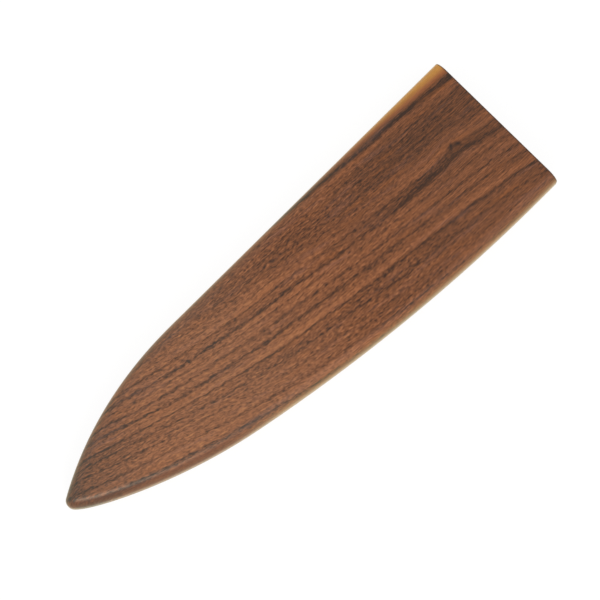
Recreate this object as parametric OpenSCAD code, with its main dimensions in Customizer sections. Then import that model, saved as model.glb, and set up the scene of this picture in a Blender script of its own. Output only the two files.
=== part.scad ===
// Magnetic wooden blade guard for a chef's knife.
// Two walnut boards are milled with half of a blade-shaped pocket each and glued face to face.
// Disc magnets under thin wooden plugs, sunk in the pocket's floors, hold the blade.
// X runs from the open mouth to the tip, Y from the spine side to the cutting edge side, Z is up.
// The guard lies flat on its back, and the origin is under the middle of its box.

/* [Guard] */
// Length from the mouth to the tip
guard_length = 222; // [200:1:250]
// Height of the guard at the mouth, from the spine side to the cutting edge side
guard_width = 65.8; // [60:0.2:72]
// Thickness of the two halves together
guard_thickness = 15; // [14:0.5:18]

/* [Outline] */
// Straight length of the spine side, from the mouth
spine_straight = 144; // [120:1:160]
// How softly the spine side starts to drop
spine_start_pull = 11; // [8:1:20]
// How softly the dropped spine side runs into the nose
spine_nose_pull = 38; // [20:1:42]
// Straight length of the cutting edge side, from the mouth
edge_straight = 9; // [2:1:20]
// How softly the cutting edge side leaves its straight
edge_start_pull = 61; // [40:1:70]
// Distance from the mouth to the fullest part of the belly
belly_place = 151; // [146:1:156]
// How far the edge side has come in at the belly
belly_drop = 14; // [13:0.25:15]
// Slope of the belly there, in degrees
belly_slope = 11.2; // [10:0.2:12]
// How softly the belly runs towards the mouth
belly_mouth_pull = 31; // [20:1:36]
// How softly the belly runs towards the nose
belly_nose_pull = 35.5; // [25:0.5:38]
// How softly the cutting edge side runs into the nose
edge_nose_pull = 6.5; // [3:0.5:9]
// How far the tip lies below the spine
tip_drop = 21.7; // [18:0.1:26]
// Radius of the nose at the tip
nose_radius = 3.1; // [2.5:0.1:4]
// Angle of the nose that faces the spine side, from straight ahead
nose_spine_angle = 60; // [50:1:70]
// Angle of the nose that faces the cutting edge side, from straight ahead
nose_edge_angle = 38; // [32:1:44]

/* [Rounded rim] */
// Width of the rim's rounding, seen from above
round_width = 5; // [3:0.25:6]
// Height of the rim's rounding on each half
round_height = 5.5; // [3:0.25:6]
// Sanded edge break round the mouth
mouth_break = 0.4; // [0.2:0.1:0.8]

/* [Blade pocket] */
// Thickness of the slot for the blade
slot_thickness = 4.4; // [4.2:0.1:5]
// Wall left round the pocket
rim_wall = 6.5; // [5.5:0.25:8]
// Radius of the cutter, which rounds the pocket's end
cutter_radius = 3; // [2.5:0.1:4]
// Flare of the slot at the mouth
slot_flare = 1; // [0.5:0.1:1.5]

/* [Magnets] */
// Number of magnets in each half
magnet_count = 4; // [3:1:4]
// Diameter of a disc magnet
magnet_diameter = 10; // [8:0.5:10]
// Thickness of a disc magnet
magnet_height = 2; // [1.5:0.25:2.5]
// Chamfer round a disc magnet
magnet_chamfer = 0.3; // [0.2:0.05:0.4]
// Thickness of the wooden plug that hides a magnet
plug_height = 1; // [0.6:0.1:1.2]
// First magnet's distance from the mouth
magnet_start = 26; // [20:1:30]
// Distance from one magnet to the next
magnet_pitch = 50; // [40:1:51]
// Distance of the row of magnets from the spine line
magnet_row = 29; // [26:0.5:32]

/* [Hidden] */
walnut = "#7d543f";
walnut_end = "#5b3b2c";
nickel = "#c3c6ca";

curve_steps = 40; // steps along each drawn curve
nose_steps = 8; // steps round each side of the nose
round_steps = 7; // steps up the rounding
sliver = 0.01; // thickness of a layer in the rounding
over = 1; // how far a cutter runs past what it cuts
run_on = 16; // how far the outline runs on past the mouth
magnet_gap = 0.05; // glue gap round a magnet
plug_gap = 0.02; // glue gap round a plug
round_fn = 96;

seam = guard_thickness / 2;
slot_half = slot_thickness / 2;
bore_depth = magnet_height + plug_height;
bore_radius = magnet_diameter / 2 + magnet_gap;
plug_radius = bore_radius - plug_gap;

function direction(angle) = [cos(angle), sin(angle)];

// Points of a cubic curve without its first point
function cubic(a, b, c, d) =
    [for (i = [1:curve_steps]) let (t = i / curve_steps, s = 1 - t)
        s * s * s * a + 3 * s * s * t * b + 3 * s * t * t * c + t * t * t * d];

// Points of an arc round the nose without its first point
function nose_arc(from, to) =
    [for (i = [1:nose_steps])
        nose_centre + nose_radius * direction(from + (to - from) * i / nose_steps)];

nose_centre = [guard_length - nose_radius, tip_drop];
nose_top = nose_centre + nose_radius * direction(-nose_spine_angle);
nose_low = nose_centre + nose_radius * direction(nose_edge_angle);
belly = [belly_place, guard_width - belly_drop];
belly_run = direction(180 - belly_slope);

// The knife's side view: out along the spine, round the nose, back along the cutting edge.
// It runs on past the mouth, where each layer is cut off square.
outline = concat(
    [[-run_on, 0], [spine_straight, 0]],
    cubic([spine_straight, 0],
          [spine_straight + spine_start_pull, 0],
          nose_top - spine_nose_pull * direction(90 - nose_spine_angle),
          nose_top),
    nose_arc(-nose_spine_angle, 0),
    nose_arc(0, nose_edge_angle),
    cubic(nose_low,
          nose_low + edge_nose_pull * direction(90 + nose_edge_angle),
          belly - belly_nose_pull * belly_run,
          belly),
    cubic(belly,
          belly + belly_mouth_pull * belly_run,
          [edge_straight + edge_start_pull, guard_width],
          [edge_straight, guard_width]),
    [[-run_on, guard_width]]);

// A layer of the outline, drawn in by inset and cut off square at x = start
module layer(inset, start, bottom, top) {
    translate([0, 0, bottom])
        linear_extrude(top - bottom)
            intersection() {
                offset(delta = -inset) polygon(outline);
                translate([start, 0]) square([guard_length, guard_width]);
            }
}

// An upright band on the glue plane, and thin layers that climb the rounding to the flat face
module rounded_layers(inset, start, height) {
    band_top = seam + height - round_height;
    layer(inset, start, seam, band_top);
    for (k = [1:round_steps]) {
        a = 90 * k / round_steps;
        top = band_top + round_height * sin(a);
        layer(inset + round_width * (1 - cos(a)), start, top - sliver, top);
    }
}

// The upper half before milling. The outline is convex, so one hull joins the layers.
// The second set, drawn in by the edge break, is the end face at the mouth.
module half_blank() {
    hull() {
        rounded_layers(0, mouth_break, seam);
        rounded_layers(mouth_break, 0, seam - mouth_break);
    }
}

// Half of the blade-shaped pocket, cut up from the glue plane by a round cutter
module half_pocket() {
    translate([0, 0, seam - over])
        linear_extrude(slot_half + over)
            offset(r = cutter_radius, $fn = round_fn)
                offset(delta = -rim_wall - cutter_radius)
                    polygon(outline);
}

// Ramp that opens the slot's mouth, so that the blade finds its way in
module half_flare() {
    translate([0, guard_width - rim_wall, seam])
        rotate([90, 0, 0])
            linear_extrude(guard_width - 2 * rim_wall)
                polygon([[-over, -over], [-over, slot_half + slot_flare + over],
                         [slot_flare, slot_half], [slot_flare, -over]]);
}

function magnet_x(i) = magnet_start + (i - 1) * magnet_pitch;

// Blind bore in the pocket's floor for a magnet and its plug
module magnet_bore(i) {
    translate([magnet_x(i), magnet_row, seam + slot_half - over])
        cylinder(h = bore_depth + over, r = bore_radius, $fn = round_fn);
}

// The upper half, with the guard's mouth at x = 0 and the spine at y = 0
module half() {
    color(walnut)
        difference() {
            half_blank();
            half_pocket();
            half_flare();
            for (i = [1:magnet_count]) magnet_bore(i);
        }
}

// Disc magnet with a chamfer round both faces
module magnet(i) {
    inner = magnet_diameter / 2 - magnet_chamfer;
    color(nickel)
        translate([magnet_x(i), magnet_row, seam + slot_half + plug_height])
            rotate_extrude($fn = round_fn)
                polygon([[0, 0], [inner, 0],
                         [magnet_diameter / 2, magnet_chamfer],
                         [magnet_diameter / 2, magnet_height - magnet_chamfer],
                         [inner, magnet_height], [0, magnet_height]]);
}

module plug(i) {
    color(walnut_end)
        translate([magnet_x(i), magnet_row, seam + slot_half])
            cylinder(h = plug_height, r = plug_radius, $fn = round_fn);
}

// Moves a piece from the guard's own corner to under the middle of its box
module centred() {
    translate([-guard_length / 2, -guard_width / 2, 0]) children();
}

module front() {
    centred() children();
}

module back() {
    centred() translate([0, 0, guard_thickness]) mirror([0, 0, 1]) children();
}

front() half();  // front_half
back() half();  // back_half
for (i = [1:magnet_count]) {
    front() magnet(i);
    back() magnet(i);
    front() plug(i);
    back() plug(i);
}
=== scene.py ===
import math

import bmesh
import bpy
from mathutils import Matrix, Vector


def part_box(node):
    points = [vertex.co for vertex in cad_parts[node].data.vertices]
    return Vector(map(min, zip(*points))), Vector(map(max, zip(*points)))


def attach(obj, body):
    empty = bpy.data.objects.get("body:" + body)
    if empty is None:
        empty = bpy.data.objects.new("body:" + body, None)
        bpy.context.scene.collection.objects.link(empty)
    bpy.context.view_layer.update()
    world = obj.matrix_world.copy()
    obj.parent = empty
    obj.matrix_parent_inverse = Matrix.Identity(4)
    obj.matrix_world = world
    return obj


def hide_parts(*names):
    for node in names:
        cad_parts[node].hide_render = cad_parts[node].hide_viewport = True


# A wooden blade guard for a chef's knife, lying on its back on a pale floor.
# X runs from the open mouth to the tip, Y from the spine side to the cutting edge side, Z is up.

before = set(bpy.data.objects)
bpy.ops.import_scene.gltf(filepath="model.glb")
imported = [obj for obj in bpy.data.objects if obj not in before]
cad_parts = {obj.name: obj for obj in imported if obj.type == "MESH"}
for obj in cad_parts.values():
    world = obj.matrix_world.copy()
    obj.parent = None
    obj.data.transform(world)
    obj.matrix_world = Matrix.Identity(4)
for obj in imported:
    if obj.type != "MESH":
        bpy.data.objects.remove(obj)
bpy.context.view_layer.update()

MM = 0.001

# Sizes from the frame
front_low, front_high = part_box("front_half")
back_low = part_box("back_half")[0]
LENGTH = front_high.x - front_low.x
WIDTH = front_high.y - front_low.y
SEAM = front_low.z
TOP = front_high.z
BOTTOM = back_low.z
HALF = TOP - SEAM
CORNER = Vector((front_low.x, front_low.y, 0))
MAGNETS = [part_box(name) for name in sorted(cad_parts) if name.startswith("front_magnet")]
PLUGS = [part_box(name) for name in sorted(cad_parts) if name.startswith("front_plug")]

# Outline of the knife's side view, as the guard's source draws it
SPINE_STRAIGHT = 144 * MM
SPINE_START_PULL = 11 * MM
SPINE_NOSE_PULL = 38 * MM
EDGE_STRAIGHT = 9 * MM
EDGE_START_PULL = 61 * MM
BELLY = Vector((151 * MM, WIDTH - 14 * MM))
BELLY_SLOPE = 11.2
BELLY_MOUTH_PULL = 31 * MM
BELLY_NOSE_PULL = 35.5 * MM
EDGE_NOSE_PULL = 6.5 * MM
TIP_DROP = 21.7 * MM
NOSE_RADIUS = 3.1 * MM
NOSE_SPINE_ANGLE = 60
NOSE_EDGE_ANGLE = 38

# Rounded rim, mouth and pocket
ROUND_WIDTH = 5 * MM
ROUND_HEIGHT = 5.5 * MM
MOUTH_BREAK = 0.4 * MM
RIM_WALL = 6.5 * MM
CUTTER_RADIUS = 3 * MM
SLOT_FLARE = 1 * MM
SLOT_HALF = PLUGS[0][0].z - SEAM
BORE_GAP = 0.05 * MM

# Fineness of the mesh
CURVE_STEPS = 110
NOSE_STEPS = 14
SPINE_STEPS = 24
HEEL_STEPS = 4
ROUND_STEPS = 14
BREAK_STEPS = 4
BORE_STEPS = 96
MERGE_DISTANCE = 1e-6
SLIVER = 1e-7
SHARP_ANGLE = 32

# How far a cutter runs past what it cuts
OVER = 1 * MM

# Drawn in by this much or more, the outline crosses itself at the tip. A point that lies nearer to the
# rim than this share of the inset has crossed over.
CROSSING_INSET = 0.9 * NOSE_RADIUS
CROSSED_SHARE = 0.9995


def direction(degrees):
    return Vector((math.cos(math.radians(degrees)), math.sin(math.radians(degrees))))


def cubic(a, b, c, d):
    """Points of a cubic curve without its first point."""
    points = []
    for i in range(1, CURVE_STEPS + 1):
        t = i / CURVE_STEPS
        s = 1 - t
        points.append(s**3 * a + 3 * s * s * t * b + 3 * s * t * t * c + t**3 * d)
    return points


def straight(a, b, steps):
    """Points of a line without its first point."""
    return [a.lerp(b, i / steps) for i in range(1, steps + 1)]


def arc(centre, radius, start, end, steps):
    """Points of an arc without its first point, with angles in degrees."""
    step = (end - start) / steps
    return [centre + radius * direction(start + step * i) for i in range(1, steps + 1)]


def outline():
    """The guard's outline from the mouth out along the spine, round the nose and back along the edge."""
    centre = Vector((LENGTH - NOSE_RADIUS, TIP_DROP))
    nose_top = centre + NOSE_RADIUS * direction(-NOSE_SPINE_ANGLE)
    nose_low = centre + NOSE_RADIUS * direction(NOSE_EDGE_ANGLE)
    start = Vector((MOUTH_BREAK, 0))
    spine_end = Vector((SPINE_STRAIGHT, 0))
    edge_end = Vector((EDGE_STRAIGHT, WIDTH))
    belly_run = direction(180 - BELLY_SLOPE)
    points = [start]
    points += straight(start, spine_end, SPINE_STEPS)
    points += cubic(spine_end, spine_end + Vector((SPINE_START_PULL, 0)),
                    nose_top - SPINE_NOSE_PULL * direction(90 - NOSE_SPINE_ANGLE), nose_top)
    points += arc(centre, NOSE_RADIUS, -NOSE_SPINE_ANGLE, 0, NOSE_STEPS)
    points += arc(centre, NOSE_RADIUS, 0, NOSE_EDGE_ANGLE, NOSE_STEPS)
    points += cubic(nose_low, nose_low + EDGE_NOSE_PULL * direction(90 + NOSE_EDGE_ANGLE),
                    BELLY - BELLY_NOSE_PULL * belly_run, BELLY)
    points += cubic(BELLY, BELLY + BELLY_MOUTH_PULL * belly_run,
                    edge_end + Vector((EDGE_START_PULL, 0)), edge_end)
    points += straight(edge_end, Vector((MOUTH_BREAK, WIDTH)), HEEL_STEPS)
    return points


def inward_normals(points):
    """Unit normals that point into the outline, one a point."""
    normals = []
    for i in range(len(points)):
        before = points[max(i - 1, 0)]
        after = points[min(i + 1, len(points) - 1)]
        chord = (points[i] - before).normalized() + (after - points[i]).normalized()
        chord.normalize()
        normals.append(Vector((-chord.y, chord.x)))
    return normals


RIM = outline()
RIM_NORMALS = inward_normals(RIM)


def distance_to_rim(point):
    """Distance from a point to the outline."""
    nearest = LENGTH
    for a, b in zip(RIM, RIM[1:]):
        along = b - a
        t = min(1, max(0, (point - a).dot(along) / along.length_squared))
        nearest = min(nearest, (point - a - t * along).length)
    return nearest


def parallel(inset):
    """The outline drawn in by inset: its points, and the run of them that meet at the ridge of the tip."""
    points = [p + n * inset for p, n in zip(RIM, RIM_NORMALS)]
    if inset < CROSSING_INSET:
        return points, None
    tip = [i for i, p in enumerate(points) if p.x > SPINE_STRAIGHT]
    crossed = [i for i in tip if distance_to_rim(points[i]) < inset * CROSSED_SHARE]
    if not crossed:
        return points, None
    first, last = crossed[0], crossed[-1]
    ridge = (points[first - 1] + points[last + 1]) / 2
    for i in range(first, last + 1):
        points[i] = ridge
    return points, (first, last)


def mesh_object(name, vertices, faces):
    """A closed mesh with doubled points merged and normals turned outwards."""
    mesh = bpy.data.meshes.new(name)
    mesh.from_pydata([tuple(v) for v in vertices], [], faces)
    bm = bmesh.new()
    bm.from_mesh(mesh)
    bmesh.ops.remove_doubles(bm, verts=bm.verts, dist=MERGE_DISTANCE)
    bmesh.ops.dissolve_degenerate(bm, edges=bm.edges, dist=SLIVER)
    bmesh.ops.recalc_face_normals(bm, faces=bm.faces)
    bm.to_mesh(mesh)
    bm.free()
    piece = bpy.data.objects.new(name, mesh)
    bpy.context.scene.collection.objects.link(piece)
    return piece


def mouth_columns(section):
    """Sections that round the edge break at the mouth, the end face first."""
    middle = WIDTH / 2
    columns = []
    for k in range(BREAK_STEPS):
        angle = math.radians(90 * k / BREAK_STEPS)
        x = MOUTH_BREAK * (1 - math.cos(angle))
        shrink = MOUTH_BREAK * (1 - math.sin(angle))
        narrow = 1 - 2 * shrink / WIDTH
        low = 1 - shrink / HALF
        columns.append([
            Vector((x, middle + (p.y - middle) * narrow, SEAM + (p.z - SEAM) * low)) for p in section])
    return columns


def blank_columns():
    """The upper half's skin as columns of points, from the glue plane up over the rounding."""
    levels = [(0, SEAM), (0, TOP - ROUND_HEIGHT)]
    for k in range(1, ROUND_STEPS + 1):
        angle = math.radians(90 * k / ROUND_STEPS)
        levels.append((ROUND_WIDTH * (1 - math.cos(angle)), TOP - ROUND_HEIGHT * (1 - math.sin(angle))))
    rows = [[Vector((p.x, p.y, z)) for p in parallel(inset)[0]] for inset, z in levels]
    columns = [list(column) for column in zip(*rows)]
    return mouth_columns(columns[0]) + columns + mouth_columns(columns[-1])[::-1]


def blank(name):
    """The upper half before milling, as a closed mesh."""
    columns = blank_columns()
    height = len(columns[0])
    last = len(columns) - 1

    def at(column, row):
        return column * height + row

    faces = []
    for c in range(last):
        for r in range(height - 1):
            faces.append((at(c, r), at(c, r + 1), at(c + 1, r + 1), at(c + 1, r)))
    for k in range(BREAK_STEPS):
        faces.append((at(k, height - 1), at(last - k, height - 1),
                      at(last - k - 1, height - 1), at(k + 1, height - 1)))
    faces.append([at(c, height - 1) for c in range(BREAK_STEPS, last - BREAK_STEPS + 1)])
    faces.append([at(c, 0) for c in range(last + 1)])
    faces.append([at(0, r) for r in range(height)] + [at(last, r) for r in reversed(range(height))])
    return mesh_object(name, [CORNER + p for column in columns for p in column], faces)


def side_faces(count):
    """Faces between two closed lines of count points each, the second line's after the first's."""
    return [(i, (i + 1) % count, count + (i + 1) % count, count + i) for i in range(count)]


def prism(name, base, bottom, top):
    """An upright prism over a closed line of points in the guard's own plane."""
    count = len(base)
    vertices = [CORNER + Vector((p.x, p.y, z)) for z in (bottom, top) for p in base]
    ends = [list(range(count))[::-1], list(range(count, 2 * count))]
    return mesh_object(name, vertices, side_faces(count) + ends)


def pocket_outline():
    """The pocket's outline, parallel to the rim, with the round end that the cutter leaves."""
    centres, crossed = parallel(RIM_WALL + CUTTER_RADIUS)
    first, last = crossed
    edge_points = [p - n * CUTTER_RADIUS for p, n in zip(centres, RIM_NORMALS)]
    start = -RIM_NORMALS[first - 1]
    end = -RIM_NORMALS[last + 1]
    start_angle = math.degrees(math.atan2(start.y, start.x))
    end_angle = math.degrees(math.atan2(end.y, end.x))
    nose = arc(centres[first], CUTTER_RADIUS, start_angle, end_angle, NOSE_STEPS)
    mouth = [Vector((-OVER, WIDTH - RIM_WALL)), Vector((-OVER, RIM_WALL))]
    return edge_points[1:first] + nose + edge_points[last + 1:-1] + mouth


def flare(name):
    """The ramp that opens the slot at the mouth."""
    profile = [(-OVER, SEAM - OVER), (-OVER, SEAM + SLOT_HALF + SLOT_FLARE + OVER),
               (SLOT_FLARE, SEAM + SLOT_HALF), (SLOT_FLARE, SEAM - OVER)]
    vertices = [CORNER + Vector((x, y, z)) for y in (RIM_WALL, WIDTH - RIM_WALL) for x, z in profile]
    return mesh_object(name, vertices, side_faces(len(profile)) + [(3, 2, 1, 0), (4, 5, 6, 7)])


def bore(name, magnet):
    """The blind bore for a magnet and its plug."""
    low, high = magnet
    middle = (low + high) / 2 - CORNER
    radius = (high.x - low.x) / 2 + BORE_GAP
    circle = arc(Vector((middle.x, middle.y)), radius, 0, 360, BORE_STEPS)
    return prism(name, circle, SEAM + SLOT_HALF - OVER, high.z)


def cut(piece, cutters):
    """Takes the cutters out of the piece and removes them."""
    for cutter in cutters:
        modifier = piece.modifiers.new("cut", "BOOLEAN")
        modifier.operation = "DIFFERENCE"
        modifier.solver = "EXACT"
        modifier.object = cutter
    evaluated = piece.evaluated_get(bpy.context.evaluated_depsgraph_get())
    mesh = bpy.data.meshes.new_from_object(evaluated)
    piece.modifiers.clear()
    piece.data = mesh
    for cutter in cutters:
        bpy.data.objects.remove(cutter)


def soften(piece):
    """Smooth shading that keeps the flat faces flat and the milled edges sharp."""
    piece.data.shade_smooth()
    piece.data.set_sharp_from_angle(angle=math.radians(SHARP_ANGLE))
    weighted = piece.modifiers.new("weighted normals", "WEIGHTED_NORMAL")
    weighted.mode = "FACE_AREA"
    weighted.keep_sharp = True


def front_board():
    """The upper half, milled."""
    piece = blank("walnut_front")
    cutters = [prism("pocket", pocket_outline(), SEAM - OVER, SEAM + SLOT_HALF), flare("flare")]
    cutters += [bore("bore", magnet) for magnet in MAGNETS]
    cut(piece, cutters)
    soften(piece)
    return piece


def back_board(front):
    """The lower half, the front one turned over in the seam's plane."""
    mesh = front.data.copy()
    mirror = Matrix.Translation((0, 0, 2 * SEAM)) @ Matrix.Diagonal((1, 1, -1, 1))
    mesh.transform(mirror)
    mesh.flip_normals()
    piece = bpy.data.objects.new("walnut_back", mesh)
    bpy.context.scene.collection.objects.link(piece)
    soften(piece)
    return piece


class Shader:
    """Short calls that build the nodes of a material or a world."""

    def __init__(self, owner):
        self.owner = owner
        owner.use_nodes = True
        self.tree = owner.node_tree
        self.tree.nodes.clear()

    def node(self, kind, inputs=None, **settings):
        made = self.tree.nodes.new(kind)
        for key, value in settings.items():
            setattr(made, key, value)
        for key, value in (inputs or {}).items():
            self.feed(made.inputs[key], value)
        return made

    def feed(self, socket, value):
        if isinstance(value, bpy.types.NodeSocket):
            self.tree.links.new(value, socket)
        else:
            socket.default_value = value

    def math(self, operation, *values):
        made = self.node("ShaderNodeMath", operation=operation)
        for i, value in enumerate(values):
            self.feed(made.inputs[i], value)
        return made.outputs[0]

    def add(self, *values):
        total = values[0]
        for value in values[1:]:
            total = self.math("ADD", total, value)
        return total

    def times(self, *values):
        product = values[0]
        for value in values[1:]:
            product = self.math("MULTIPLY", product, value)
        return product

    def line(self, value, slope, start):
        """Start where value is 0, and slope more for each step of 1."""
        return self.math("MULTIPLY_ADD", value, slope, start)

    def off(self, value, middle, radius=1.0):
        """How far value lies from middle, counted in radii."""
        return self.line(value, 1 / radius, -middle / radius)

    def hill(self, *distances):
        """1 at the middle and 0 far off, for distances counted in the hill's own radii."""
        squares = [self.times(distance, distance) for distance in distances]
        return self.math("EXPONENT", self.times(self.add(*squares), -1.0))

    def smooth(self, value, low, high, start=0.0, end=1.0):
        """Runs from start to end on a smooth step while value runs from low to high."""
        return self.node("ShaderNodeMapRange", {
            "Value": value, "From Min": low, "From Max": high, "To Min": start, "To Max": end},
            interpolation_type="SMOOTHSTEP").outputs[0]

    def place(self, corner=(0, 0, 0)):
        """Distances along X, Y and Z from a corner, in millimetres."""
        source = self.node("ShaderNodeTexCoord").outputs["Object"]
        parts = self.node("ShaderNodeSeparateXYZ", {"Vector": source}).outputs
        return [self.off(part, start, MM) for part, start in zip(parts, corner)]

    def noise(self, place, grain, detail=2.0, roughness=0.5):
        """Noise about 0 that swings by about 1, at a place, with the size of a grain along each axis."""
        x, y, z = [self.times(value, 1 / size) for value, size in zip(place, grain)]
        vector = self.node("ShaderNodeCombineXYZ", {"X": x, "Y": y, "Z": z}).outputs[0]
        made = self.node("ShaderNodeTexNoise", {
            "Vector": vector, "Scale": 1.0, "Detail": detail, "Roughness": roughness})
        return self.line(made.outputs[0], 2.0, -1.0)

    def ramp(self, value, stops):
        """A colour by value, from stops that each hold a place and its colour."""
        made = self.node("ShaderNodeValToRGB", {"Fac": value})
        elements = made.color_ramp.elements
        while len(elements) < len(stops):
            elements.new(1.0)
        for element, (position, color) in zip(elements, stops):
            element.position = position
            element.color = color
        return made.outputs[0]

    def mix(self, factor, a, b, blend="MIX"):
        """Colour a turning into b. The node's inputs 6 and 7 and its output 2 are the ones for colours."""
        made = self.node("ShaderNodeMix", data_type="RGBA", blend_type=blend)
        self.feed(made.inputs[0], factor)
        self.feed(made.inputs[6], a)
        self.feed(made.inputs[7], b)
        return made.outputs[2]

    def bump(self, height, strength, distance):
        """A normal bent by height. The distance is how high 1 stands, in millimetres."""
        return self.node("ShaderNodeBump", {
            "Height": height, "Strength": strength, "Distance": distance * MM}).outputs[0]

    def finish(self, surface, output="ShaderNodeOutputMaterial"):
        self.tree.links.new(surface, self.node(output).inputs[0])
        return self.owner


def colour(red, green, blue):
    """A linear colour from its 8-bit sRGB values."""
    channels = []
    for value in (red, green, blue):
        share = value / 255
        channels.append(share / 12.92 if share <= 0.04045 else ((share + 0.055) / 1.055) ** 2.4)
    return (*channels, 1.0)


def grey(value):
    return (value, value, value, 1.0)


# Wood colours
HEART_DARKEST = colour(52, 31, 17)
HEART_DARK = colour(86, 51, 28)
HEART_BROWN = colour(111, 66, 37)
HEART_MIDDLE = colour(132, 80, 47)
HEART_RED = colour(151, 94, 58)
HEART_LIGHT = colour(176, 116, 70)
HEART_GREY = colour(104, 118, 112)
HEART_STOPS = [(0.0, HEART_DARKEST), (0.14, HEART_DARK), (0.32, HEART_BROWN), (0.5, HEART_MIDDLE),
               (0.7, HEART_RED), (1.0, HEART_LIGHT)]
PLUG_STOPS = [(0.0, HEART_DARK), (0.5, HEART_BROWN), (1.0, HEART_RED)]
SAPWOOD = colour(222, 164, 72)
SAPWOOD_DARK = colour(176, 113, 44)
SAP_BORDER = colour(160, 92, 44)
WARM_TINT = colour(162, 92, 36)
ROSY_TINT = colour(136, 96, 84)
KNOT = colour(30, 19, 14)
END_GRAIN = colour(44, 26, 14)
# Painted reflection on the low rim of the rounding
PAINTED_RIM_REFLECTION = colour(192, 163, 116)
# Darker flank of the rounding, partly the wood's colour and partly painted shade
DARK_FLANK_AND_SHADE = colour(92, 48, 27)

# Oil finish over the walnut: a thin coat, and a warm sheen where the wood is seen at a flat angle
OIL_FINISH = {
    "IOR": 1.36, "Coat Weight": 0.25, "Coat Roughness": 0.25, "Coat IOR": 1.5,
    "Sheen Weight": 0.46, "Sheen Roughness": 0.34, "Sheen Tint": (1.0, 0.93, 0.79, 1.0)}

# Growth rings of each board, by their distance across the grain from the spine line in mm.
# A tone is its place, and how light the broad band is there, from 0 to 1. A line is its place, its
# depth at the mouth and at the tip, and how far it fades before and after its place.
RING_SPAN = 80
FRONT_TONES = [
    (5.2, 0.60), (7.8, 0.42), (9.9, 0.68), (11.5, 0.52), (15.0, 0.46), (22.0, 0.44), (25.0, 0.50),
    (28.0, 0.56), (30.5, 0.68), (33.5, 0.54), (36.0, 0.46), (37.2, 0.60), (40.4, 0.63), (44.3, 0.59),
    (48.5, 0.55), (50.7, 0.78), (52.2, 0.50), (57.0, 0.46), (60.0, 0.51), (66.0, 0.56), (70.0, 0.66),
    (72.0, 0.54), (74.2, 0.42), (79.0, 0.38)]
FRONT_LINES = [
    (7.8, 0.18, 0.22, 2.1, 1.5), (13.4, 0.12, 0.12, 0.8, 0.8), (15.5, 0.05, 0.07, 0.6, 0.6),
    (18.0, 0.08, 0.07, 0.7, 0.7), (20.1, 0.10, 0.15, 0.8, 0.8), (22.8, 0.07, 0.20, 0.8, 0.9),
    (25.5, 0.06, 0.18, 0.7, 0.7), (29.0, 0.05, 0.22, 0.7, 0.6), (32.2, 0.20, 0.28, 0.9, 1.0),
    (36.0, 0.18, 0.38, 1.3, 0.7), (38.9, 0.17, 0.28, 0.6, 0.7), (42.7, 0.24, 0.38, 1.1, 0.6),
    (46.3, 0.24, 0.45, 1.0, 0.8), (48.3, 0.04, 0.10, 0.5, 0.5), (52.3, 0.24, 0.38, 0.9, 1.0),
    (57.4, 0.14, 0.30, 0.8, 0.6), (62.4, 0.10, 0.28, 0.7, 0.6), (68.0, 0.20, 0.28, 0.9, 0.7),
    (73.4, 0.20, 0.40, 1.0, 2.2)]
BACK_TONES = [
    (0.0, 0.55), (5.0, 0.60), (9.2, 0.55), (12.2, 0.58), (18.3, 0.68), (21.5, 0.54), (27.4, 0.60),
    (33.0, 0.52), (36.8, 0.68), (41.0, 0.52), (45.5, 0.60), (49.5, 0.54), (54.0, 0.64), (58.5, 0.52),
    (64.2, 0.62), (72.0, 0.56)]
BACK_LINES = [
    (3.4, 0.16, 0.20, 0.9, 0.7), (10.6, 0.22, 0.26, 0.8, 0.7), (16.5, 0.10, 0.14, 0.8, 0.8),
    (19.5, 0.24, 0.28, 0.6, 1.1), (26.0, 0.14, 0.18, 0.9, 0.6), (31.0, 0.18, 0.24, 1.0, 0.8),
    (38.2, 0.26, 0.30, 0.6, 1.2), (47.0, 0.20, 0.26, 0.9, 0.7), (55.2, 0.22, 0.28, 0.6, 0.9),
    (63.0, 0.12, 0.16, 0.8, 0.8), (67.5, 0.18, 0.24, 0.9, 0.7)]
LINES_A_RAMP = 7

# Where each board lay in the tree. Drift and bow run the growth lines across the guard by the distance
# from the mouth and by its square. The knot is a place along the guard and across the grain.
FRONT_BOARD = {
    "name": "walnut_front", "seed": 0.0, "face": TOP / MM, "drift": 0.08, "bow": 0.000425,
    "tones": FRONT_TONES, "lines": FRONT_LINES, "knot": (18.3, 30.6), "sapwood": True}
BACK_BOARD = {
    "name": "walnut_back", "seed": 41.0, "face": BOTTOM / MM, "drift": -0.04, "bow": 0.0002,
    "tones": BACK_TONES, "lines": BACK_LINES, "knot": None, "sapwood": False}

# Under the face the rings and the strands lean one way up to the first place across the guard in mm,
# and the other way from the second
LEAN_SIDES = (15, 50)
RING_LEAN = 0.5
STRAND_LEAN = 0.8

# Values that change along a board: the value at the mouth, and then steps that each hold the places in
# mm where it starts and ends, and the change
GATHER = (0.0, (90, 170, 0.11))  # how strongly the growth lines gather
SAG = (0.0, (60, 110, -1.2), (165, 190, 0.9))  # how far the main line sags, in mm
CURL = (0.4, (15, 80, 0.6), (90, 160, 0.38))  # how much the fibres waver
FOLLOW = (0.4, (110, 180, 0.3))  # how far the strands follow the growth lines
STRAY = (-0.02, (80, 130, 0.02))  # how that changes with each mm beyond STRAY_SIDE
CALM = (1.0, (25, 95, -1.0))  # how calm the wood is
RING_CONTRAST = (1.0, (110, 165, -0.45))  # contrast of the broad bands
LINE_SHARE = (0.0, (40, 175, 1.0))  # how far a dark line is on its way to its depth at the tip
BESIDE_SAPWOOD = (-0.12, (15, 60, 0.10))  # tone of the growth line beside the sapwood
GREYING = (0.0, (85, 145, 0.11), (180, 215, 0.04))  # share of grey in the colour
RIM_REFLECTION_ALONG = (0.40, (128, 165, -0.38))  # how strong the painted reflection on the low rim is
FLANK_DARKENING_AND_SHADE = (0.0, (140, 172, 0.62))  # how dark the flank on the edge side is, partly the wood's colour and partly painted shade
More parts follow.
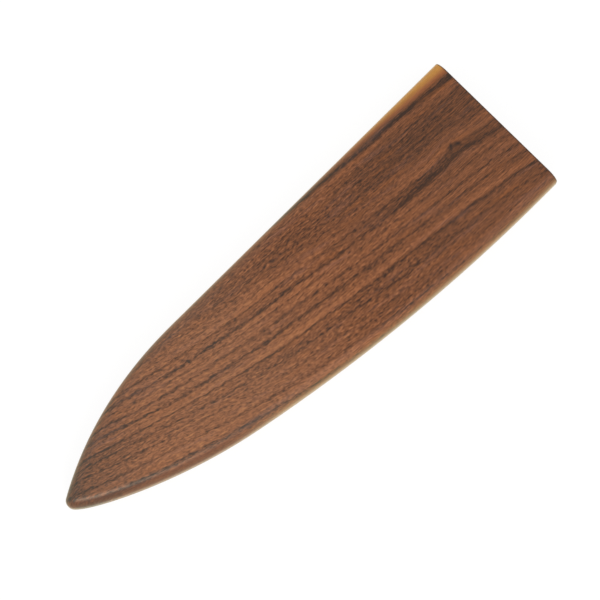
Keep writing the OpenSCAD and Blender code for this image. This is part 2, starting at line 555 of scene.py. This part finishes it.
END_FACE = (1.0, (1.0, 2.0, -1.0))  # how far a place belongs to the end face
EDGE_BREAK = (1.0, (0.3, 0.75, -1.0))  # how far it belongs to the edge break

# How light the wood is before its figure is added. It rises from the mouth towards the tip, partly the
# wood's own tone and partly a painted light gradient, and falls again near the tip
TONE = (0.322, (20, 150, 0.228), (135, 160, 0.04), (165, 210, -0.15), (207, 220, -0.25))

# Patches: the range across the guard or the grain over which each one comes in, the range along the
# guard, both in mm, and the change. One whose range along the guard ends at the mouth holds all along.
FLOW_PATCHES = [(47, 52.5, 120, 185, 2.2), (16, 10, 30, 75, -1.6)]
TONE_PATCHES_BY_GRAIN = [
    (55, 62, 95, 150, 0.07),
    (62, 66, -1, 0, 0.05), (62, 66, 30, 55, -0.08), (62, 66, 75, 105, 0.03),
    (68, 73, 138, 150, -0.10), (68, 73, 165, 178, 0.10),
    (74, 77, 98, 112, 0.06), (74, 77, 130, 150, -0.06)]
TONE_PATCHES_BY_SIDE = [
    (4.5, 2.5, 50, 62, -0.10), (4.5, 2.5, 88, 105, 0.09),
    (16, 10, 145, 162, -0.07), (42, 30, 185, 205, -0.08)]

# Flow of the growth lines: within FAN_REACH of the mouth they fan out on the edge side, further on they
# gather towards a main line, and they bend at the tip. The main line sags over a width of its own.
FAN_REACH = 12
FAN_SIDE = (30, 48)
FAN = -3.1
MAIN_LINE = 49.5
SAG_WIDTH = 4.5
TIP_BEND_START = 150
TIP_BEND = 0.00135

# How far the growth lines step aside beside the knot and draw together behind it: the middle along and
# across from the knot, the radii, all in mm, and the shift
KNOT_PUSHES = [(0.0, -1.5, 9.0, 6.5, 2.2), (4.0, 4.0, 28.0, 3.5, 1.7)]

# Spots of the pin knot: place along the guard and across the grain from its middle in mm, heading in
# the same plane, half length, half width, colour and strength
KNOT_SPOTS = [
    (-8.8, 2.3, 165, 9.0, 2.3, HEART_DARKEST, 0.24),
    (-11.5, 0.6, 174, 6.5, 1.0, HEART_DARKEST, 0.42),
    (-3.4, 2.4, 142, 3.6, 0.55, HEART_DARKEST, 0.55),
    (3.6, 1.0, 51, 2.7, 0.55, HEART_DARKEST, 0.55),
    (0.6, -0.7, 160, 2.6, 1.5, HEART_DARKEST, 0.45),
    (-0.9, -0.6, 135, 1.2, 0.75, KNOT, 0.92),
    (1.8, -1.5, 48, 1.2, 0.65, KNOT, 0.92)]

# Shade that runs off the knot: its middle and radius along the guard and across the grain, and depth
KNOT_SHADE_ALONG = (34.0, 22)
KNOT_SHADE_ACROSS = (34.4, 2.0)
KNOT_SHADE = -0.16

# How far the wavering and swaying of the fibres moves the growth lines and the strands, in mm
GRAIN_WAVER = 0.65
GRAIN_SWAY = 0.9
STRAND_WAVER = 0.35
STRAND_SWAY = 0.6

# Places in mm: from where across the guard the strands stray, and between which lines the calm wood
# beside the sapwood starts
STRAY_SIDE = 40
CALM_SIDE = (10.5, 8.5)

# How much each part of the figure counts in the tone. A pair is its share in lively and in calm wood.
# LINE_BREAKS is how far noise breaks up the dark lines. FLECKS_BY_BAND holds the tone of a light band
# and of a dark one, and then the flecks' strength in each.
BAND_MIDDLE = 0.55
BROAD_SHARE = 0.14
MOTTLE_SHARE = 0.45
FIBRE_SHARE = 0.34
STREAK_SHARES = (0.28, 0.21)
THREAD_SHARES = (0.12, 0.32)
FLECK_SHARES = (1.0, 0.5)
LINE_BREAKS = (-0.9, -0.4)
FLECKS_BY_BAND = (0.7, 0.42, 0.76, 1.08)

# Warm clouds come in over this range of their noise, and rosy ones over the same range below 0
CLOUD_RANGE = (0.05, 0.6)
CLOUD_SHARE = 0.30

# Pores: how they crowd in places and along the dark lines, from where a dash shows, and its darkness
PORE_CROWDING = 0.3
PORE_LINING = 0.8
PORE_RANGE = (0.3, 0.5)
PORE_SHARE = 0.6

# Sapwood beside the spine, which tapers off with the distance from the mouth: the places in mm between
# which its border and itself come in, and the growth line beside it with the line's radius
SAP_TAPER = 0.075
SAP_RAGGED = 0.9
SAP_BORDER_SIDE = (6.6, 4.1)
SAP_BORDER_SHARE = 0.7
SAP_SIDE = (5.3, 1.9)
SAP_CONTRAST = 0.7
SAP_MIDDLE = 0.5
SAP_LINE = (7.6, 2.0)

# Painted reflection on the rounding, a paler colour where the floor would reflect at a flat angle, by the
# parts of the surface's normal: where it starts on the spine and the edge side, where it is full, and how
# far flecks show in it
RIM_SIDES = (-0.1, 0.1)
RIM_REACH = (0.62, 0.84)
RIM_FULL = 0.06
RIM_FLECKS = 0.4

# Darker flank of the rounding on the edge side near the tip, partly the wood's colour and partly painted
# shade where the rounding turns from the light, by the parts of the surface's normal
FLANK_TOP = (0.9, 0.74)
FLANK_FOOT = (0.1, 0.4)
FLANK_SIDE = (0.1, 0.3)

# End grain at the mouth: from what part of the normal on a surface faces the mouth, the size of a dot in
# mm, its share in the tone, and the range of tones and the share of the end grain's colour
FACING = (0.25, 0.75)
END_DOT = (0.25, 0.25, 1.0)
END_DOT_SHARE = 0.2
END_TONES = (0.1, 0.6)
END_SHARE = 0.85

# How dark the edge break round the mouth is, and how much less so where it faces the mouth
BREAK_DARKNESS = 0.7
BREAK_DARKNESS_FACING = -0.5

# Glue line: its fading half width in mm, and its darkness
GLUE_REACH = (0.16, 0.05)
GLUE_SHARE = 0.6

# Surface of the wood: how far pores sink and fibres and flecks rise, as shares of a depth in mm, the
# bump's strength, and what makes it rougher or smoother
PORE_SINK = -0.6
FIBRE_RISE = 0.15
FLECK_RISE = 0.1
WOOD_DEPTH = 0.05
WOOD_BUMP = 0.35
WOOD_ROUGHNESS = 0.44
FLECK_ROUGHNESS = 0.05
PORE_ROUGHNESS = 0.12
BROAD_ROUGHNESS = 0.04


class Walnut(Shader):
    """Oiled walnut with growth lines, curl, flecks, pores and end grain. Lengths are in millimetres."""

    def __init__(self, board):
        super().__init__(bpy.data.materials.new(board["name"]))
        self.board = board
        self.x, self.y, self.z = self.place(CORNER)
        source = self.node("ShaderNodeNewGeometry").outputs["Normal"]
        self.normal = self.node("ShaderNodeSeparateXYZ", {"Vector": source}).outputs
        self.depth = self.depth_under_face()
        self.across = self.across_grain()
        self.flow = self.flow_lines()
        self.lay_fibres()
        self.lay_figure()
        self.dark_line = self.ring_lines()
        self.pores = self.pore_dashes()
        self.tone = self.whole_tone()

    def along(self, at_mouth, *steps):
        """A value that changes in steps along the board."""
        changes = [self.smooth(self.x, start, end, 0.0, change) for start, end, change in steps]
        return self.add(at_mouth, *changes)

    def patches(self, side, rows):
        """The sum of changes that come in both across, by the distance side, and along the board."""
        changes = []
        for side_start, side_end, start, end, change in rows:
            here = self.smooth(side, side_start, side_end)
            changes.append(self.times(here, self.smooth(self.x, start, end, 0.0, change)))
        return self.add(*changes)

    def figure(self, lines, length, width, seed, detail=2.0, roughness=0.5):
        """Noise in grains of a length and a width that run along the given lines."""
        place = (self.x, lines, self.board["seed"] + seed)
        return self.noise(place, (length, width, 1.0), detail, roughness)

    def by_calm(self, lively, calm):
        """A share that differs between lively and calm wood."""
        return self.line(self.calm, calm - lively, lively)

    def depth_under_face(self):
        """Depth under the board's face, which counts the other way on the spine side."""
        depth = self.math("ABSOLUTE", self.off(self.z, self.board["face"]))
        return self.times(depth, self.smooth(self.y, *LEAN_SIDES, -1.0, 1.0))

    def across_grain(self):
        """Distance across the grain from the spine line."""
        drift = self.times(self.x, self.board["drift"])
        bow = self.times(self.x, self.x, self.board["bow"])
        return self.add(self.y, drift, bow, self.times(self.depth, RING_LEAN))

    def flow_lines(self):
        """Distance across the grain that follows the growth lines as they fan, gather and pass the knot."""
        fade = self.math("EXPONENT", self.times(self.x, -1 / FAN_REACH))
        fan = self.times(fade, self.smooth(self.across, *FAN_SIDE, 0.0, FAN))
        gather = self.times(self.off(self.across, MAIN_LINE), self.along(*GATHER))
        past = self.math("MAXIMUM", self.off(self.x, TIP_BEND_START), 0.0)
        bend = self.times(past, past, TIP_BEND)
        flow = self.add(self.across, fan, gather, self.patches(self.across, FLOW_PATCHES), bend)
        sag = self.times(self.hill(self.off(flow, MAIN_LINE, SAG_WIDTH)), self.along(*SAG))
        flow = self.add(flow, sag)
        if self.board["knot"]:
            flow = self.add(flow, *self.knot_shifts())
        return flow

    def knot_shifts(self):
        """How far the knot moves the growth lines."""
        knot_x, knot_across = self.board["knot"]
        shifts = []
        for place, side, length, width, shift in KNOT_PUSHES:
            hill = self.hill(self.off(self.x, knot_x + place, length),
                             self.off(self.across, knot_across + side, width))
            shifts.append(self.times(hill, shift))
        return shifts

    def lay_fibres(self):
        """The lines that the figure runs along. The grain follows the growth lines and wavers with the curl.
        The strands run straighter along the board and cross the growth lines at a small angle."""
        self.curl = self.along(*CURL)
        waver = self.times(self.figure(self.flow, length=3.0, width=2.0, seed=0.0, detail=1.0), self.curl)
        sway = self.figure(self.flow, length=28, width=12, seed=3.0, detail=1.0)
        self.grain = self.add(self.flow, self.times(waver, GRAIN_WAVER), self.times(sway, GRAIN_SWAY))
        past = self.math("MAXIMUM", self.off(self.y, STRAY_SIDE), 0.0)
        follow = self.add(self.along(*FOLLOW), self.times(past, self.along(*STRAY)))
        lead = self.times(self.math("SUBTRACT", self.flow, self.y), follow)
        self.strand = self.add(self.y, self.times(self.depth, STRAND_LEAN), lead,
                               self.times(sway, STRAND_SWAY), self.times(waver, STRAND_WAVER))

    def lay_figure(self):
        """Streaks, threads and flecks. Near the mouth and beside the sapwood the wood is calm with long thin
        threads, and further on it breaks up into flecks."""
        self.calm = self.math("MAXIMUM", self.along(*CALM), self.smooth(self.across, *CALM_SIDE))
        self.broad = self.figure(self.grain, length=60, width=9, seed=7.0, detail=1.0)
        self.streak = self.figure(self.strand, length=26, width=1.0, seed=11.0, roughness=0.6)
        self.thread = self.figure(self.strand, length=22, width=0.4, seed=31.0, roughness=0.6)
        self.fleck = self.figure(self.strand, length=3.0, width=0.5, seed=13.0, detail=3.0, roughness=0.75)
        self.mottle = self.figure(self.strand, length=1.5, width=0.9, seed=19.0, roughness=0.6)
        self.fibre = self.figure(self.strand, length=4.0, width=0.22, seed=17.0, detail=1.0)

    def ring_bands(self):
        """The broad light and dark bands of the growth rings, from 0 to 1."""
        stops = [(place / RING_SPAN, grey(tone)) for place, tone in self.board["tones"]]
        return self.ramp(self.times(self.grain, 1 / RING_SPAN), stops)

    def ring_lines(self):
        """How deep the thin dark lines are. A ramp holds a few of them, with their depth at the mouth in red
        and at the tip in green."""
        place_in_span = self.times(self.grain, 1 / RING_SPAN)
        share = self.along(*LINE_SHARE)
        lines = self.board["lines"]
        depths = []
        for first in range(0, len(lines), LINES_A_RAMP):
            stops = [(0.0, grey(0.0))]
            for place, at_mouth, at_tip, before, after in lines[first:first + LINES_A_RAMP]:
                stops.append(((place - before) / RING_SPAN, grey(0.0)))
                stops.append((place / RING_SPAN, (at_mouth, at_tip, 0.0, 1.0)))
                stops.append(((place + after) / RING_SPAN, grey(0.0)))
            both = self.node("ShaderNodeSeparateColor", {"Color": self.ramp(place_in_span, stops)})
            gain = self.math("SUBTRACT", both.outputs[1], both.outputs[0])
            depths.append(self.line(gain, share, both.outputs[0]))
        return self.add(*depths)

    def pore_dashes(self):
        """Short dark dashes along the grain, crowded in places."""
        crowd = self.figure(self.grain, length=40, width=3, seed=23.0, detail=1.0)
        dash = self.figure(self.strand, length=2.0, width=0.24, seed=29.0, detail=0.0)
        crowded = self.add(dash, self.times(crowd, PORE_CROWDING), self.times(self.dark_line, PORE_LINING))
        return self.smooth(crowded, *PORE_RANGE)

    def whole_tone(self):
        """How light the heartwood is, from 0 to 1."""
        bands = self.ring_bands()
        broken = self.figure(self.flow, length=4.5, width=3, seed=5.0)
        line_gain = self.line(broken, self.by_calm(*LINE_BREAKS), -1.0)
        fleck_gain = self.times(self.smooth(bands, *FLECKS_BY_BAND), self.by_calm(*FLECK_SHARES))
        tone = self.add(
            self.along(*TONE),
            self.times(self.off(bands, BAND_MIDDLE), self.along(*RING_CONTRAST)),
            self.times(self.dark_line, line_gain),
            self.times(self.broad, BROAD_SHARE),
            self.times(self.streak, self.by_calm(*STREAK_SHARES)),
            self.times(self.thread, self.by_calm(*THREAD_SHARES)),
            self.times(self.fleck, fleck_gain),
            self.times(self.mottle, self.curl, MOTTLE_SHARE),
            self.times(self.fibre, FIBRE_SHARE),
            self.patches(self.across, TONE_PATCHES_BY_GRAIN),
            self.patches(self.y, TONE_PATCHES_BY_SIDE))
        if self.board["sapwood"]:
            beside = self.hill(self.off(self.grain, *SAP_LINE))
            tone = self.add(tone, self.times(beside, self.along(*BESIDE_SAPWOOD)))
        if self.board["knot"]:
            shade = self.hill(self.off(self.x, *KNOT_SHADE_ALONG), self.off(self.grain, *KNOT_SHADE_ACROSS))
            tone = self.add(tone, self.times(shade, KNOT_SHADE))
        return tone

    def heartwood(self):
        """The heartwood by its tone, with warm and rosy clouds, greyer towards the tip, and its pores."""
        wood = self.ramp(self.tone, HEART_STOPS)
        hue = self.figure(self.grain, length=26, width=2.6, seed=37.0, detail=3.0)
        below = self.times(hue, -1.0)
        wood = self.mix(self.smooth(hue, *CLOUD_RANGE, 0.0, CLOUD_SHARE), wood, WARM_TINT)
        wood = self.mix(self.smooth(below, *CLOUD_RANGE, 0.0, CLOUD_SHARE), wood, ROSY_TINT)
        wood = self.mix(self.along(*GREYING), wood, HEART_GREY)
        return self.mix(self.times(self.pores, PORE_SHARE), wood, HEART_DARKEST)

    def with_sapwood(self, wood):
        """Pale sapwood along the spine side near the mouth, with a warm border."""
        edge = self.add(self.y, self.times(self.x, SAP_TAPER), self.times(self.streak, SAP_RAGGED))
        sap_tone = self.line(self.add(self.fleck, self.streak), SAP_CONTRAST, SAP_MIDDLE)
        wood = self.mix(self.smooth(edge, *SAP_BORDER_SIDE, 0.0, SAP_BORDER_SHARE), wood, SAP_BORDER)
        return self.mix(self.smooth(edge, *SAP_SIDE), wood, self.mix(sap_tone, SAPWOOD_DARK, SAPWOOD))

    def with_knot(self, wood):
        """Dark eyes of a small pin knot, with the tail and the shade that run off it."""
        knot_x, knot_across = self.board["knot"]
        for place, side, heading, length, width, spot_colour, strength in KNOT_SPOTS:
            turn = direction(heading)
            dx = self.off(self.x, knot_x + place)
            dy = self.off(self.across, knot_across + side)
            lengthwise = self.add(self.times(dx, turn.x / length), self.times(dy, turn.y / length))
            aside = self.add(self.times(dx, -turn.y / width), self.times(dy, turn.x / width))
            wood = self.mix(self.times(self.hill(lengthwise, aside), strength), wood, spot_colour)
        return wood

    def with_painted_rim_reflection_and_shade(self, wood):
        """Painted reflection on the rounding: a paler colour, most of all low on it and less towards the
        tip. And a darker flank on the edge side near the tip, partly the wood's colour and partly painted
        shade."""
        side = self.normal[1]
        up = self.normal[2]
        reach = self.smooth(side, *RIM_SIDES, *RIM_REACH)
        steep = self.smooth(self.math("ABSOLUTE", up), reach, RIM_FULL)
        # Painted reflection: a paler colour low on the rounding
        painted_reflection = self.times(steep, self.along(*RIM_REFLECTION_ALONG), self.line(self.fleck, RIM_FLECKS, 1.0))
        wood = self.mix(painted_reflection, wood, PAINTED_RIM_REFLECTION)
        # Darker flank near the tip, partly the wood's colour and partly painted shade
        flank = self.times(self.smooth(up, *FLANK_TOP), self.smooth(up, *FLANK_FOOT),
                           self.smooth(side, *FLANK_SIDE))
        return self.mix(self.times(flank, self.along(*FLANK_DARKENING_AND_SHADE)), wood, DARK_FLANK_AND_SHADE)

    def with_end_grain(self, wood):
        """End grain on the face at the mouth, and the darkened edge break round it."""
        facing = self.smooth(self.times(self.normal[0], -1.0), *FACING)
        at_mouth = self.times(facing, self.along(*END_FACE))
        dots = self.noise((self.y, self.z, self.board["seed"]), END_DOT, detail=1.0)
        end_tone = self.add(self.tone, self.times(dots, END_DOT_SHARE))
        end_colour = self.mix(self.smooth(end_tone, *END_TONES), END_GRAIN, HEART_BROWN)
        wood = self.mix(self.times(at_mouth, END_SHARE), wood, end_colour)
        # The edge break round the mouth is darker, less so where it faces the mouth
        break_darkening = self.times(self.along(*EDGE_BREAK), self.line(facing, BREAK_DARKNESS_FACING, BREAK_DARKNESS))
        return self.mix(break_darkening, wood, HEART_DARKEST)

    def with_glue_line(self, wood):
        """A hair of glue shows where the halves meet."""
        glue = self.smooth(self.math("ABSOLUTE", self.off(self.z, SEAM / MM)), *GLUE_REACH)
        return self.mix(self.times(glue, GLUE_SHARE), wood, HEART_DARKEST)

    def oiled(self, wood):
        """The finished material, with the pores sunk and the fibres raised."""
        height = self.add(self.times(self.pores, PORE_SINK), self.times(self.fibre, FIBRE_RISE),
                          self.times(self.fleck, FLECK_RISE))
        rough = self.add(self.times(self.fleck, FLECK_ROUGHNESS), self.times(self.pores, PORE_ROUGHNESS),
                         self.times(self.broad, BROAD_ROUGHNESS), WOOD_ROUGHNESS)
        surface = self.node("ShaderNodeBsdfPrincipled", {
            "Base Color": wood, "Roughness": rough,
            "Normal": self.bump(height, WOOD_BUMP, WOOD_DEPTH), **OIL_FINISH})
        return self.finish(surface.outputs[0])


def walnut(board):
    """The material of one board, layer by layer."""
    layers = Walnut(board)
    wood = layers.heartwood()
    if board["sapwood"]:
        wood = layers.with_sapwood(wood)
    if board["knot"]:
        wood = layers.with_knot(wood)
    wood = layers.with_painted_rim_reflection_and_shade(wood)
    wood = layers.with_end_grain(wood)
    wood = layers.with_glue_line(wood)
    return layers.oiled(wood)


# Plugs: the size in mm, the seed and the share in the tone of a streak and of a fibre
PLUG_STREAK = (0.7, 9.0, 1.0)
PLUG_STREAK_SEED = 4.0
PLUG_STREAK_SHARE = 0.3
PLUG_FIBRE = (0.2, 2.5, 1.0)
PLUG_FIBRE_SEED = 9.0
PLUG_FIBRE_SHARE = 0.2
PLUG_TONE = 0.42
PLUG_BUMP = 0.3
PLUG_DEPTH = 0.03


def plug_walnut():
    """Walnut plugs with their grain across the board's."""
    s = Shader(bpy.data.materials.new("plug_walnut"))
    x, y = s.place()[:2]
    streak = s.noise((x, y, PLUG_STREAK_SEED), PLUG_STREAK)
    fibre = s.noise((x, y, PLUG_FIBRE_SEED), PLUG_FIBRE)
    tone = s.add(s.times(streak, PLUG_STREAK_SHARE), s.times(fibre, PLUG_FIBRE_SHARE), PLUG_TONE)
    surface = s.node("ShaderNodeBsdfPrincipled", {
        "Base Color": s.ramp(tone, PLUG_STOPS), "Roughness": 0.5, "IOR": 1.45,
        "Normal": s.bump(fibre, PLUG_BUMP, PLUG_DEPTH)})
    return s.finish(surface.outputs[0])


# Nickel plate: the size in mm of a cloud of haze and of a scratch, how the haze changes the roughness,
# and the scratches' bump
NICKEL_COOL = grey(0.62)
NICKEL_WARM = (0.74, 0.72, 0.68, 1.0)
HAZE = (2.0, 2.0, 2.0)
SCRATCH = (0.08, 3.0, 1.0)
HAZE_ROUGHNESS = 0.08
NICKEL_ROUGHNESS = 0.22
SCRATCH_BUMP = 0.1
SCRATCH_DEPTH = 0.01


def nickel_plate():
    """Bright nickel plate with a little haze and fine scratches."""
    s = Shader(bpy.data.materials.new("nickel_plate"))
    place = s.place()
    haze = s.noise(place, HAZE)
    scratch = s.noise(place, SCRATCH, detail=1.0)
    surface = s.node("ShaderNodeBsdfPrincipled", {
        "Base Color": s.mix(s.line(haze, 0.5, 0.5), NICKEL_COOL, NICKEL_WARM), "Metallic": 1.0,
        "Roughness": s.line(haze, HAZE_ROUGHNESS, NICKEL_ROUGHNESS),
        "Normal": s.bump(scratch, SCRATCH_BUMP, SCRATCH_DEPTH)})
    return s.finish(surface.outputs[0])


MAGNET_EDGE = 0.08 * MM
PLUG_EDGE = 0.06 * MM
EDGE_SEGMENTS = 3
EDGE_ANGLE = 30


def dress_node(name, material, edge):
    """Gives a CAD node its material and rounds its edges a little."""
    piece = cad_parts[name]
    piece.data.materials.clear()
    piece.data.materials.append(material)
    weld = piece.modifiers.new("weld", "WELD")
    weld.merge_threshold = MERGE_DISTANCE
    bevel = piece.modifiers.new("edge", "BEVEL")
    bevel.width = edge
    bevel.segments = EDGE_SEGMENTS
    bevel.limit_method = "ANGLE"
    bevel.angle_limit = math.radians(EDGE_ANGLE)


def make_boards():
    front = front_board()
    back = back_board(front)
    for piece, node, board in ((front, "front_half", FRONT_BOARD), (back, "back_half", BACK_BOARD)):
        piece.data.materials.append(walnut(board))
        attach(piece, "root")
        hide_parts(node)


def make_inner_pieces():
    plug_material = plug_walnut()
    magnet_material = nickel_plate()
    for name in sorted(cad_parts):
        if "magnet" in name:
            dress_node(name, magnet_material, MAGNET_EDGE)
        if "plug" in name:
            dress_node(name, plug_material, PLUG_EDGE)


# Camera, as the photograph's outline fixes it: its tilt from straight above, its turn round the
# vertical, its distance and the point in the seam's plane that it looks at
CAMERA_TILT = 8.29
CAMERA_TURN = 225.03
CAMERA_DISTANCE = 1.2
CAMERA_TARGET = CORNER + Vector((102.98 * MM, 27.85 * MM, SEAM))
IMAGE_SIDE = 600
PIXELS_PER_METRE = 2592.1
SENSOR = 36.0


def make_camera():
    turn = math.radians(CAMERA_TURN)
    tilt = math.radians(CAMERA_TILT)
    right = Vector((math.cos(turn), -math.sin(turn), 0))
    back = Vector((-math.sin(turn) * math.sin(tilt), -math.cos(turn) * math.sin(tilt), math.cos(tilt)))
    up = back.cross(right)
    camera = bpy.data.objects.new("camera", bpy.data.cameras.new("camera"))
    camera.data.sensor_width = SENSOR
    camera.data.lens = PIXELS_PER_METRE * CAMERA_DISTANCE * SENSOR / IMAGE_SIDE
    rotation = Matrix((right, up, back)).transposed().to_4x4()
    camera.matrix_world = Matrix.Translation(CAMERA_TARGET + CAMERA_DISTANCE * back) @ rotation
    bpy.context.scene.collection.objects.link(camera)
    bpy.context.scene.camera = camera


# Floor: half its side, how far it lies under the guard, the paper's colour and the colour it glows in as
# the guard reflects it. To the camera it glows white and catches a little light, for the soft shadow.
FLOOR_REACH = 3.0
FLOOR_GAP = 0.2 * MM
PAPER = (0.66, 0.60, 0.48, 1.0)
PAPER_GLOW = (1.0, 0.92, 0.66, 1.0)
FLOOR_GLOW = 0.9
FLOOR_CATCH = 0.14


def paper():
    """Pale paper that reads as white to the camera, glows in reflections and keeps the soft shadow."""
    s = Shader(bpy.data.materials.new("floor"))
    path = s.node("ShaderNodeLightPath")
    camera_ray = path.outputs["Is Camera Ray"]
    seen = s.math("MAXIMUM", camera_ray, path.outputs["Is Glossy Ray"])
    matte = s.node("ShaderNodeBsdfDiffuse", {"Color": PAPER})
    glow_colour = s.mix(camera_ray, PAPER_GLOW, grey(1.0))
    glow = s.node("ShaderNodeEmission", {"Color": glow_colour, "Strength": FLOOR_GLOW})
    faint = s.node("ShaderNodeBsdfDiffuse", {"Color": grey(FLOOR_CATCH)})
    lit = s.node("ShaderNodeAddShader")
    s.tree.links.new(faint.outputs[0], lit.inputs[0])
    s.tree.links.new(glow.outputs[0], lit.inputs[1])
    choice = s.node("ShaderNodeMixShader", {"Fac": seen})
    s.tree.links.new(matte.outputs[0], choice.inputs[1])
    s.tree.links.new(lit.outputs[0], choice.inputs[2])
    return s.finish(choice.outputs[0])


def make_floor():
    side = FLOOR_REACH
    mesh = bpy.data.meshes.new("floor")
    corners = [(-side, -side, 0), (side, -side, 0), (side, side, 0), (-side, side, 0)]
    mesh.from_pydata(corners, [], [(0, 1, 2, 3)])
    mesh.materials.append(paper())
    floor = bpy.data.objects.new("floor", mesh)
    floor.location.z = -FLOOR_GAP
    bpy.context.scene.collection.objects.link(floor)


# Light tent by the height of the direction it shines from: how strong it is and how warm, and how much
# stronger it gets towards +X and towards +Y
TENT_LEAN = (-0.08, 0.14)
TENT_STOPS = [(0.0, 0.80), (0.35, 1.0), (0.7, 1.04), (0.9, 0.96), (0.97, 0.36), (1.0, 0.36)]
TENT_WARMTH = [(0.0, (1.0, 0.93, 0.80, 1.0)), (0.4, (1.0, 0.99, 0.96, 1.0)), (0.7, (1.0, 1.0, 1.0, 1.0))]


def make_world():
    """A light tent with a darker hole overhead and a brighter edge side, plain white to the camera."""
    s = Shader(bpy.data.worlds.new("studio"))
    bpy.context.scene.world = s.owner
    source = s.node("ShaderNodeTexCoord").outputs["Generated"]
    sky = s.node("ShaderNodeSeparateXYZ", {"Vector": source}).outputs
    level = s.ramp(sky[2], [(height, grey(strength)) for height, strength in TENT_STOPS])
    lean = s.line(sky[1], TENT_LEAN[1], s.line(sky[0], TENT_LEAN[0], 1.0))
    tent = s.mix(1.0, s.ramp(sky[2], TENT_WARMTH), s.times(level, lean), "MULTIPLY")
    seen = s.mix(s.node("ShaderNodeLightPath").outputs["Is Camera Ray"], tent, grey(1.0))
    background = s.node("ShaderNodeBackground", {"Color": seen, "Strength": 1.0})
    s.finish(background.outputs[0], "ShaderNodeOutputWorld")


# Key light: a square softbox aimed at the guard, its tilt from straight above and its heading from +X
KEY_TILT = 53
KEY_HEADING = 49
KEY_DISTANCE = 0.75
KEY_SIDE = 0.22
KEY_POWER = 1.45
KEY_COLOUR = (1.0, 0.86, 0.68)


def make_key_light():
    light = bpy.data.lights.new("key", "AREA")
    light.shape = "SQUARE"
    light.size = KEY_SIDE
    light.energy = KEY_POWER
    light.color = KEY_COLOUR
    tilt = math.radians(KEY_TILT)
    flat = direction(KEY_HEADING) * math.sin(tilt)
    place = Vector((flat.x, flat.y, math.cos(tilt))) * KEY_DISTANCE
    lamp = bpy.data.objects.new("key", light)
    lamp.location = place
    lamp.rotation_euler = (-place).to_track_quat("-Z", "Y").to_euler()
    bpy.context.scene.collection.objects.link(lamp)


make_boards()
make_inner_pieces()
make_camera()
make_floor()
make_world()
make_key_light()
bpy.context.scene.view_settings.view_transform = "Standard"
